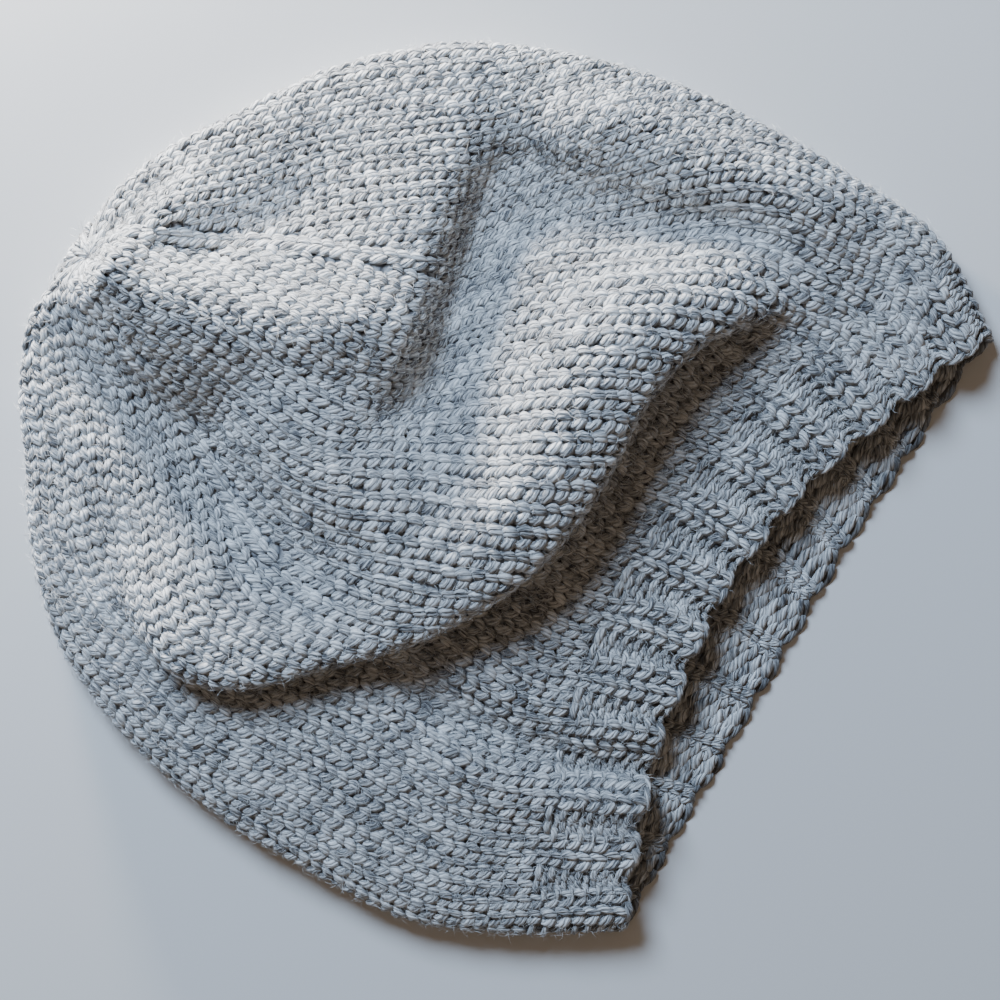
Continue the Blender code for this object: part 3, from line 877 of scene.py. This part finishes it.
def stitch_tubes(knitting, wales, rows, line, sides, most_slant=MOST_SLANT):
    """One tube of yarn a stitch along a line of bends, each a little uneven in its own way.

    Neighbours also wander together, as hand knitting does. Where the cloth is pulled askew, a
    stitch stays square to its own wale: what lies across it moves along it by the slant, which is
    the share of a row that the cloth climbs over one stitch, up to most_slant.
    """
    count = len(wales)
    table = np.array(line)
    own = rng.normal(0.0, 1.0, (count, 5))
    stretch = 1.0 + UNEVEN_PLACE * own[:, 3:4]
    across = table[None, :, 0] * stretch + UNEVEN_PLACE * own[:, :1] + waver(wales, rows, 0.0)
    along = table[None, :, 1] + UNEVEN_ALONG * own[:, 1:2] + waver(wales, rows, ALONG_START)
    height = table[None, :, 2] + UNEVEN_HEIGHT * own[:, 2:3]
    around = patch(knitting.place, wales, rows)
    over = around[:, 2, 1] - around[:, 0, 1]
    up = around[:, 1, 2] - around[:, 1, 0]
    slant = (over * up).sum(-1) / np.maximum((up * up).sum(-1), 1e-9)
    along = along - across * np.clip(slant, -most_slant, most_slant)[:, None]
    centres, normals = on_cloth(knitting, wales, rows, across, along, height)
    width = np.linalg.norm(over, axis=-1)[:, None] / STITCH_WIDTH
    swell = np.clip(width, SLIMMEST, WIDEST) ** SWELL
    radii = table[None, :, 3] * (1.0 + UNEVEN_THICKNESS * own[:, 4:5]) * swell
    return tubes(centres, normals, radii, sides)


def tube_faces(lines, rings, sides):
    """Quads along the tubes, and one flat face that shuts each end."""
    first = (np.arange(lines) * rings * sides)[:, None, None]
    quads = grid_faces(rings, sides, True)
    walls = (first + quads[None]).reshape(-1, 4)
    ring = np.arange(sides)
    ends = np.stack([ring[::-1], (rings - 1) * sides + ring])
    return [walls, (first + ends[None]).reshape(-1, sides)]


def tube_maps(lines, rings, sides, numbers):
    """The yarn map, share round and share along, and the stitch map, two random numbers a line."""
    r, c = np.meshgrid(np.arange(rings - 1), np.arange(sides), indexing="ij")
    u = (np.stack([c, c + 1, c + 1, c], -1) + 0.5) / sides
    v = np.stack([r, r, r + 1, r + 1], -1) / (rings - 1)
    one = np.stack([u, v], -1).reshape(-1, 2)
    walls = np.tile(one, (lines, 1))
    caps = np.zeros((lines * 2 * sides, 2))
    per_wall = np.repeat(numbers, len(one), axis=0)
    per_cap = np.repeat(numbers, 2 * sides, axis=0)
    return [walls, caps], [per_wall, per_cap]


def yarn_piece(name, sets):
    """One piece from several sets of tubes, with nothing lower than FLOOR_HEIGHT."""
    faces = []
    yarn_map = []
    stitch_map = []
    first = 0
    for places in sets:
        lines, rings, sides = places.shape[:3]
        faces += [first + group for group in tube_faces(lines, rings, sides)]
        own_yarn, own_stitch = tube_maps(lines, rings, sides, rng.random((lines, 2)))
        yarn_map += own_yarn
        stitch_map += own_stitch
        first += lines * rings * sides
    places = np.concatenate([one.reshape(-1, 3) for one in sets])
    places[:, 2] = np.maximum(places[:, 2], FLOOR_HEIGHT)
    piece = new_piece(name, places, faces, yarn_wool, [("yarn", yarn_map), ("stitch", stitch_map)])
    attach(piece, "root")
    return piece


def plain_stitches(name, knitting, wales, rows, leg, sides):
    """One piece of plain knitting: the right and left legs of every stitch."""
    sets = [stitch_tubes(knitting, wales, rows, line, sides) for line in (leg, mirrored(leg))]
    return yarn_piece(name, sets)


def stitches_of(knitting, first_row, last_row):
    """Wale and row of every whole stitch still knitted, and its middle's place and angle."""
    w, r = np.meshgrid(np.arange(WALES), np.arange(first_row, last_row), indexing="ij")
    w = w.ravel()
    r = r.ravel()
    keep = knitting.knitted[(2 * w + 1) % (2 * WALES), 2 * r + 1]
    w = w[keep]
    r = r[keep]
    middle = ((2 * w + 1) % (2 * WALES), 2 * r + 1)
    return w, r, knitting.place[middle], knitting.angle[middle]


LAST_ROW = ROWS - 1
w, r, place, angle = stitches_of(straight, RIB_ROWS, LAST_ROW)
below = fold_side(place - OVER_ORIGIN, MAIN_FOLD) > CUT - CUT_OVERLAP
front = (np.sin(angle) > 0.0) & below
plain_stitches("stitches_before_main_fold", straight, w[front], r[front], RIGHT_LEG, SIDES)

w, r, place, angle = stitches_of(drawn, RIB_ROWS, LAST_ROW)
upper = np.sin(angle) > UNDER_EDGE
below = fold_side(place - OVER_ORIGIN, MAIN_FOLD) > CUT + CUT_OVERLAP
behind = upper & ~(below & (np.sin(angle) > 0.0))
split = np.median(r[behind])
near = behind & (r <= split)
far = behind & (r > split)
plain_stitches("stitches_on_main_fold", drawn, w[near], r[near], RIGHT_LEG, SIDES)
plain_stitches("stitches_towards_tip", drawn, w[far], r[far], RIGHT_LEG, SIDES)

# The five lines of decreases that shape the crown. Two stitches are knitted together into each
# stitch of a line, so it stands a little out of the cloth.
FEWEST = 12
DECREASE_RISE = 0.0003
DECREASE_LEG = [bend._replace(height=bend.height + DECREASE_RISE) for bend in RIGHT_LEG]


def knit_decreases():
    """The lines where two wedges meet: for each, its left, middle and right half wale and a spare.

    They lie half a stitch apart, whatever the ring's stitch count, and are drawn across as the
    knitting round them is.
    """
    along = np.linspace(0.0, 1.0, PATH_STEPS)
    count = stitch_count(along)
    half = np.array([-0.5, 0.0, 0.5, 0.5])
    edge = FIRST_WEDGE + (np.arange(WEDGES) + 0.5) * WALES / WEDGES
    share = edge[:, None, None] / WALES + half[None, :, None] / count[None, None]
    share = share.reshape(-1, PATH_STEPS)
    knitted = np.broadcast_to((count < WALES - 0.5) & (count > FEWEST), share.shape)
    wales = (edge[:, None] + half[None]).ravel()
    return follow(wales, drawn_across(share, along), knitted, along, True)


decreases = knit_decreases()


def decrease_lines():
    """The stitches of all five lines, wherever the crown is already narrowing."""
    line, r = np.meshgrid(np.arange(WEDGES), np.arange(RIB_ROWS, LAST_ROW), indexing="ij")
    line = line.ravel()
    r = r.ravel()
    keep = decreases.knitted[4 * line + 1, 2 * r + 1]
    return plain_stitches("decrease_lines", decreases, 2 * line[keep], r[keep], DECREASE_LEG, SIDES)


decrease_lines()

# The plain knitting on the layer that lies on the floor. Its legs have fewer bends and fewer
# faces, because they are seen only when the hat is turned over.
UNDER_SIDES = 4
UNDER_LEG = [RIGHT_LEG[k] for k in (0, 2, 3, 5)]
under = ~upper
plain_stitches("stitches_floor_side", drawn, w[under], r[under], UNDER_LEG, UNDER_SIDES)

# The ribbing round the mouth: two stitches plain and two purl in turn, cast on with a chain and
# knitted in one with the hat. Plain pairs stand out and purl pairs sink in, and on the inside of
# the hat it is the other way round.
RIB_CROWD = 0.30
SCALLOP = 0.0012
SCALLOP_ROWS = 3.0
CAST_ON = [
    Bend(-1.30, -0.98, 0.00085, 0.00070),
    Bend(-0.70, -1.16, 0.00080, 0.00112),
    Bend(0.00, -1.30, 0.00010, 0.00118),
    Bend(0.70, -1.16, -0.00085, 0.00112),
    Bend(1.30, -0.98, -0.00100, 0.00070),
]
RIB_YARN = 0.88
RIB_LEG = [bend._replace(radius=RIB_YARN * bend.radius) for bend in RIGHT_LEG]
PURL_BUMP = [
    Bend(-1.24, -0.52, -0.00050, 0.00074),
    Bend(-0.84, 0.00, 0.00078, 0.00116),
    Bend(0.00, 0.20, 0.00128, 0.00130),
    Bend(0.84, 0.00, 0.00078, 0.00116),
    Bend(1.24, -0.52, -0.00050, 0.00074),
]
PURL_DIP = [
    Bend(-1.14, 0.62, -0.00030, 0.00084),
    Bend(-0.76, 0.14, 0.00074, 0.00122),
    Bend(0.00, -0.06, 0.00112, 0.00132),
    Bend(0.76, 0.14, 0.00074, 0.00122),
    Bend(1.14, 0.62, -0.00030, 0.00084),
]
PURL_SIDES = 5
RIB_SLANT = 0.3


def knit_ribs():
    """The straight knitting's first rows with ribs that stand out, spread and scallop the edge."""
    wales = np.arange(2 * WALES) / 2.0
    rows = np.arange(2 * RIB_ROWS + 1) / 2.0
    turn = rib_turn(wales)[:, None]
    moved = wales[:, None] - RIB_CROWD * np.cos(turn) * rib_fade(rows)[None]
    closed = np.append(wales, WALES)
    angles = np.stack([
        np.interp(moved[:, k] % WALES, closed, np.append(straight.angle[:, k], 2.0 * pi))
        for k in range(len(rows))
    ], axis=1)
    station = straight.station[:, :len(rows)]
    place = hat_surface(angles, station) + OVER_ORIGIN
    normal = outward_normal(angles, np.maximum(station, 2.0 * NORMAL_STEP))
    mouthward = place[:, :1] - place[:, 1:2]
    mouthward /= np.linalg.norm(mouthward, axis=-1, keepdims=True)
    edge = SCALLOP * np.sin(turn) * (1.0 - smooth_step(rows / SCALLOP_ROWS))[None]
    relief = RIB_RISE * np.sin(turn) * rib_fade(rows)[None]
    place = place + relief[..., None] * normal + edge[..., None] * mouthward
    return Knitting(place, normal, angles, station, np.ones(station.shape, bool))


ribbed = knit_ribs()


def ribbing_stitches():
    """Plain V stitches on the raised pairs and purl bumps on the sunken ones, outside and inside."""
    w, r = np.meshgrid(np.arange(WALES), np.arange(RIB_ROWS), indexing="ij")
    w = w.ravel()
    r = r.ravel()
    stands_out = np.sin(rib_turn(w + 0.5)) > 0.0
    inside = ribbed._replace(normal=-ribbed.normal)
    sets = []
    for side, plain in ((ribbed, stands_out), (inside, ~stands_out)):
        for leg in (RIB_LEG, mirrored(RIB_LEG)):
            sets.append(stitch_tubes(side, w[plain], r[plain], leg, PURL_SIDES, RIB_SLANT))
        sets.append(stitch_tubes(side, w[~plain], r[~plain], PURL_BUMP, PURL_SIDES, 0.0))
        dips = ~plain & (r < RIB_ROWS - 1)
        sets.append(stitch_tubes(side, w[dips] + 0.5, r[dips] + 0.5, PURL_DIP, PURL_SIDES, 0.0))
    first = np.arange(WALES)
    sets.append(stitch_tubes(ribbed, first, np.zeros(WALES, int), CAST_ON, SIDES, 0.0))
    return yarn_piece("ribbing_stitches", sets)


ribbing_stitches()

# The gathered tip: the yarn's end is drawn through the last stitches, which run together in a
# ring of short legs round a small dimple. In this table along is the station, from mouth to tip.
TIP_LEGS = 13
TIP_LINE = [
    Bend(0.0, 0.962, 0.00050, 0.00118),
    Bend(0.0, 0.974, 0.00090, 0.00122),
    Bend(0.0, 0.984, 0.00075, 0.00108),
    Bend(0.0, 0.992, 0.00010, 0.00090),
    Bend(0.0, 0.9985, -0.00120, 0.00060),
]
TIP_LAST_NORMAL = 0.985


def gathered_tip():
    """Legs evenly spaced round the tip, each run over the surface from its station to the middle."""
    table = np.array(TIP_LINE)
    first = angle_at(np.arange(TIP_LEGS) / TIP_LEGS, table[0, 1])
    angles = np.broadcast_to(first[:, None], (TIP_LEGS, len(table)))
    station = np.broadcast_to(table[None, :, 1], angles.shape)
    normal = outward_normal(angles, np.minimum(station, TIP_LAST_NORMAL))
    centres = hat_surface(angles, station) + OVER_ORIGIN + table[None, :, 2, None] * normal
    radii = np.broadcast_to(table[None, :, 3], angles.shape)
    return yarn_piece("gathered_tip", [tubes(centres, normal, radii, SIDES)])


gathered_tip()

# The halo of loose fibres that stand off the wool, about a tenth of a millimetre thick. Each is a
# spindle of six faces, bent in the middle.
FIBRES = 26000
FIBRE_THICKNESS = 0.000065
FIBRE_LENGTH = 0.0062
FIBRE_LIFT = 0.42
FIBRE_ROOT = 0.0016
FIBRE_SHORTEST = 0.4
FIBRE_WEAR = (0.6, 1.2)
FIBRE_BEND = 0.45
FIBRE_END_LIFT = 0.3


def fibre_material():
    """Pale matt wool in one colour: a fibre is too thin to show a pattern."""
    material = bpy.data.materials.new("loose wool fibres")
    material.use_nodes = True
    shader = material.node_tree.nodes["Principled BSDF"]
    shader.inputs["Base Color"].default_value = (0.74, 0.74, 0.73, 1.0)
    shader.inputs["Roughness"].default_value = 0.9
    shader.inputs["Specular IOR Level"].default_value = 0.1
    return material


def halo(name, knitting, wales, rows, count):
    """Fibres scattered over these stitches: root, bent middle and end, lifted off the cloth."""
    pick = rng.integers(0, len(wales), count)
    across = rng.uniform(-1.0, 1.0, (count, 1))
    along = rng.uniform(-1.0, 1.0, (count, 1))
    height = np.full((count, 1), FIBRE_ROOT)
    root, normal = on_cloth(knitting, wales[pick], rows[pick], across, along, height)
    root = root[:, 0]
    normal = normal[:, 0]
    length = FIBRE_LENGTH * rng.uniform(FIBRE_SHORTEST, 1.0, (count, 1))
    length = length * rng.uniform(*FIBRE_WEAR, (count, 1))
    lift = FIBRE_LIFT * rng.uniform(0.0, 1.0, (count, 1))
    ways = rng.normal(size=(2, count, 3))
    ways -= (ways * normal).sum(-1, keepdims=True) * normal
    first = ways[0] / np.linalg.norm(ways[0], axis=-1, keepdims=True)
    second = first + FIBRE_BEND * ways[1]
    second /= np.linalg.norm(second, axis=-1, keepdims=True)
    middle = root + 0.5 * length * (first + lift * normal)
    end = middle + 0.5 * length * (second + FIBRE_END_LIFT * lift * normal)
    forward = end - root
    forward /= np.linalg.norm(forward, axis=-1, keepdims=True)
    side = np.cross(forward, normal)
    side /= np.linalg.norm(side, axis=-1, keepdims=True)
    up = np.cross(side, forward)
    turn = -np.arange(3) * 2.0 * pi / 3.0
    ring = np.cos(turn)[:, None] * side[:, None] + np.sin(turn)[:, None] * up[:, None]
    places = np.concatenate([root[:, None], middle[:, None] + FIBRE_THICKNESS * ring, end[:, None]], 1)
    places = places.reshape(-1, 3)
    places[:, 2] = np.maximum(places[:, 2], FLOOR_HEIGHT)
    one = np.array([[0, 2, 1], [0, 3, 2], [0, 1, 3], [1, 2, 4], [2, 3, 4], [3, 1, 4]])
    faces = [(5 * np.arange(count)[:, None, None] + one).reshape(-1, 3)]
    piece = new_piece(name, places, faces, fibres, [])
    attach(piece, "root")
    return piece


fibres = fibre_material()
w, r, place, angle = stitches_of(drawn, RIB_ROWS, LAST_ROW)
keep = ~((fold_side(place - OVER_ORIGIN, MAIN_FOLD) > CUT) & (np.sin(angle) > 0.0))
halo("halo_plain", drawn, w[keep], r[keep], FIBRES)
w, r, place, angle = stitches_of(straight, 0, LAST_ROW)
keep = (fold_side(place - OVER_ORIGIN, MAIN_FOLD) > CUT) & (np.sin(angle) > 0.0)
halo("halo_brim", straight, w[keep], r[keep], FIBRES // 3)

# The floor under the hat: one plain pale sheet, larger than any view of it, that the hat rests on
# and throws its shadow on. It isn't part of the hat.
FLOOR_REACH = 1.5
FLOOR_COLOUR = (0.74, 0.72, 0.69, 1.0)
FLOOR_ROUGHNESS = 0.8


def floor_material():
    """One plain matt colour."""
    material = bpy.data.materials.new("pale floor")
    material.use_nodes = True
    shader = material.node_tree.nodes["Principled BSDF"]
    shader.inputs["Base Color"].default_value = FLOOR_COLOUR
    shader.inputs["Roughness"].default_value = FLOOR_ROUGHNESS
    return material


floor_mesh = bpy.data.meshes.new("floor")
floor_mesh.from_pydata(
    [
        (-FLOOR_REACH, -FLOOR_REACH, 0.0),
        (FLOOR_REACH, -FLOOR_REACH, 0.0),
        (FLOOR_REACH, FLOOR_REACH, 0.0),
        (-FLOOR_REACH, FLOOR_REACH, 0.0),
    ],
    [],
    [(0, 1, 2, 3)],
)
floor_mesh.materials.append(floor_material())
floor = bpy.data.objects.new("floor", floor_mesh)
bpy.context.scene.collection.objects.link(floor)

# The studio light: a low warm window at the upper left of the picture, a wide cool light over it,
# and a faint warm glow from the room all round. One row for each light: its direction as right, up
# and towards the camera in the picture, its distance and width in metres, watts and colour.
PICTURE_TURN = radians(-60.0)
Light = namedtuple("Light", "name right up high distance width power colour")
LIGHTS = [
    Light("window", -0.52, 0.85, 0.09, 0.43, 0.08, 6.4, (1.0, 0.955, 0.90)),
    Light("sky", -0.36, 0.60, 0.71, 1.4, 0.62, 34.0, (0.54, 0.73, 1.0)),
]
ROOM_COLOUR = (1.0, 0.79, 0.60, 1.0)
ROOM_STRENGTH = 0.17


def in_picture(right, up, high):
    """A direction given as right, up and towards the camera in the picture, in the hat's frame."""
    cos = np.cos(PICTURE_TURN)
    sin = np.sin(PICTURE_TURN)
    return Vector((right * cos - up * sin, right * sin + up * cos, high))


def soft_light(light):
    """A round area lamp that stands off in its direction and faces the origin."""
    lamp = bpy.data.lights.new(light.name, "AREA")
    lamp.shape = "DISK"
    lamp.size = light.width
    lamp.energy = light.power
    lamp.color = light.colour
    direction = in_picture(light.right, light.up, light.high)
    holder = bpy.data.objects.new(light.name, lamp)
    holder.location = direction.normalized() * light.distance
    holder.rotation_euler = direction.to_track_quat("Z", "Y").to_euler()
    bpy.context.scene.collection.objects.link(holder)


for light in LIGHTS:
    soft_light(light)
world = bpy.data.worlds.new("room")
world.use_nodes = True
background = world.node_tree.nodes["Background"]
background.inputs["Color"].default_value = ROOM_COLOUR
background.inputs["Strength"].default_value = ROOM_STRENGTH
bpy.context.scene.world = world

# The camera, straight above the hat and turned so that the mouth is at the lower right of the
# picture. It stands back until PICTURE_WIDTH fills the frame at PICTURE_HEIGHT over the floor.
LENS = 85.0
SENSOR = 36.0
PICTURE_WIDTH = 0.300
PICTURE_HEIGHT = 0.012
PICTURE_MIDDLE = (-0.0062, -0.0237)
camera_data = bpy.data.cameras.new("camera")
camera_data.lens = LENS
camera_data.sensor_width = SENSOR
camera = bpy.data.objects.new("camera", camera_data)
camera.location = (*PICTURE_MIDDLE, PICTURE_HEIGHT + PICTURE_WIDTH * LENS / SENSOR)
camera.rotation_euler = (0.0, 0.0, PICTURE_TURN)
bpy.context.scene.collection.objects.link(camera)
bpy.context.scene.camera = camera
